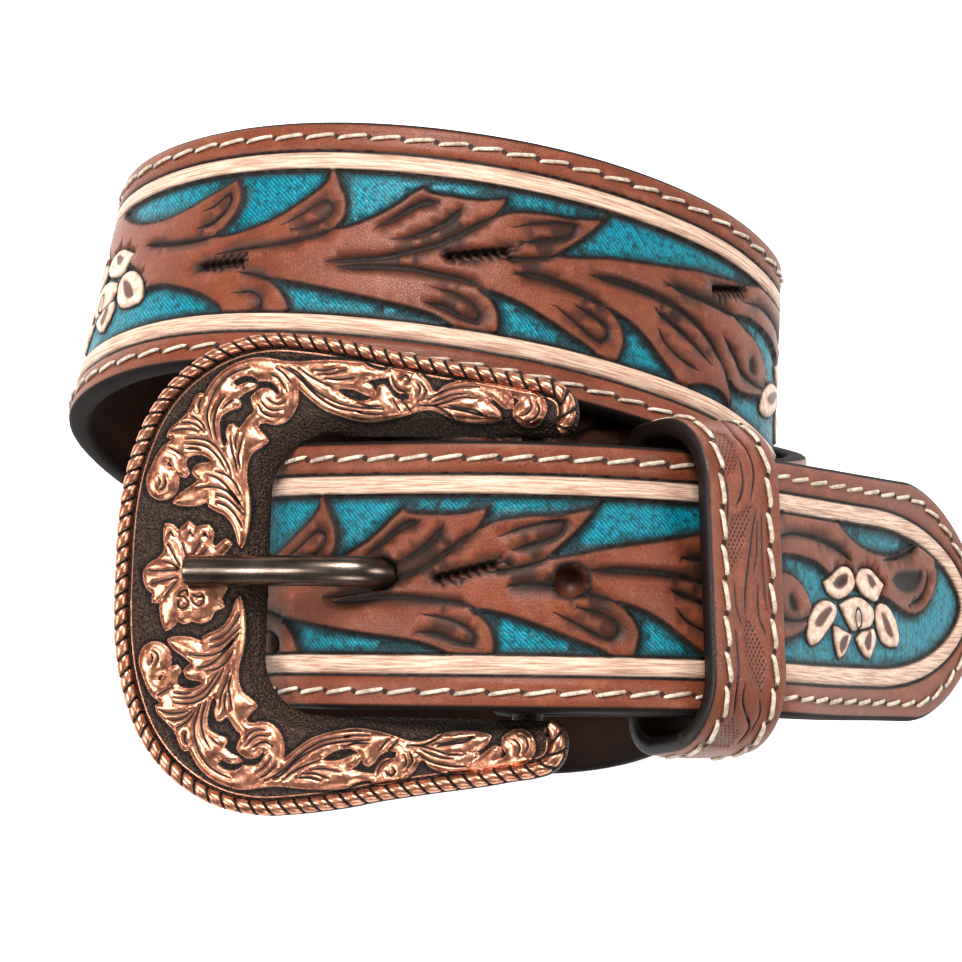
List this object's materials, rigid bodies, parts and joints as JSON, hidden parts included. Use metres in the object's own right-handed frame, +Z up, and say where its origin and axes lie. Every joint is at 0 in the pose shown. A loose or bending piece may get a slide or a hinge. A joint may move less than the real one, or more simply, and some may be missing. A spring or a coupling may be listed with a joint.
{
  "type": "belt",
  "caption": "Western tooled leather belt with a horseshoe buckle, a leather keeper and an inlaid field, buckled and wound on its rim.",
  "frame": {"origin": "on the surface under the middle of the coil, where the outer turn lies flat", "axes": "+Z up from the surface, +X from the coil towards the strap tip, +Y away from the buckle side, along the coil's axis"},
  "size_m": [0.1421, 0.1019, 0.1006],
  "materials": {
    "strap_leather": "antiqued saddle brown, satin, with off-white stripes and a turquoise field",
    "keeper_leather": "antiqued saddle brown, satin",
    "copper": "antique copper plate over a zinc casting, dark recesses",
    "bronze": "gunmetal bronze, satin"
  },
  "bodies": {
    "root": {"strap": "strap_leather", "buckle_frame": "copper", "prong": "bronze", "keeper": "keeper_leather"}
  },
  "joints": []
}
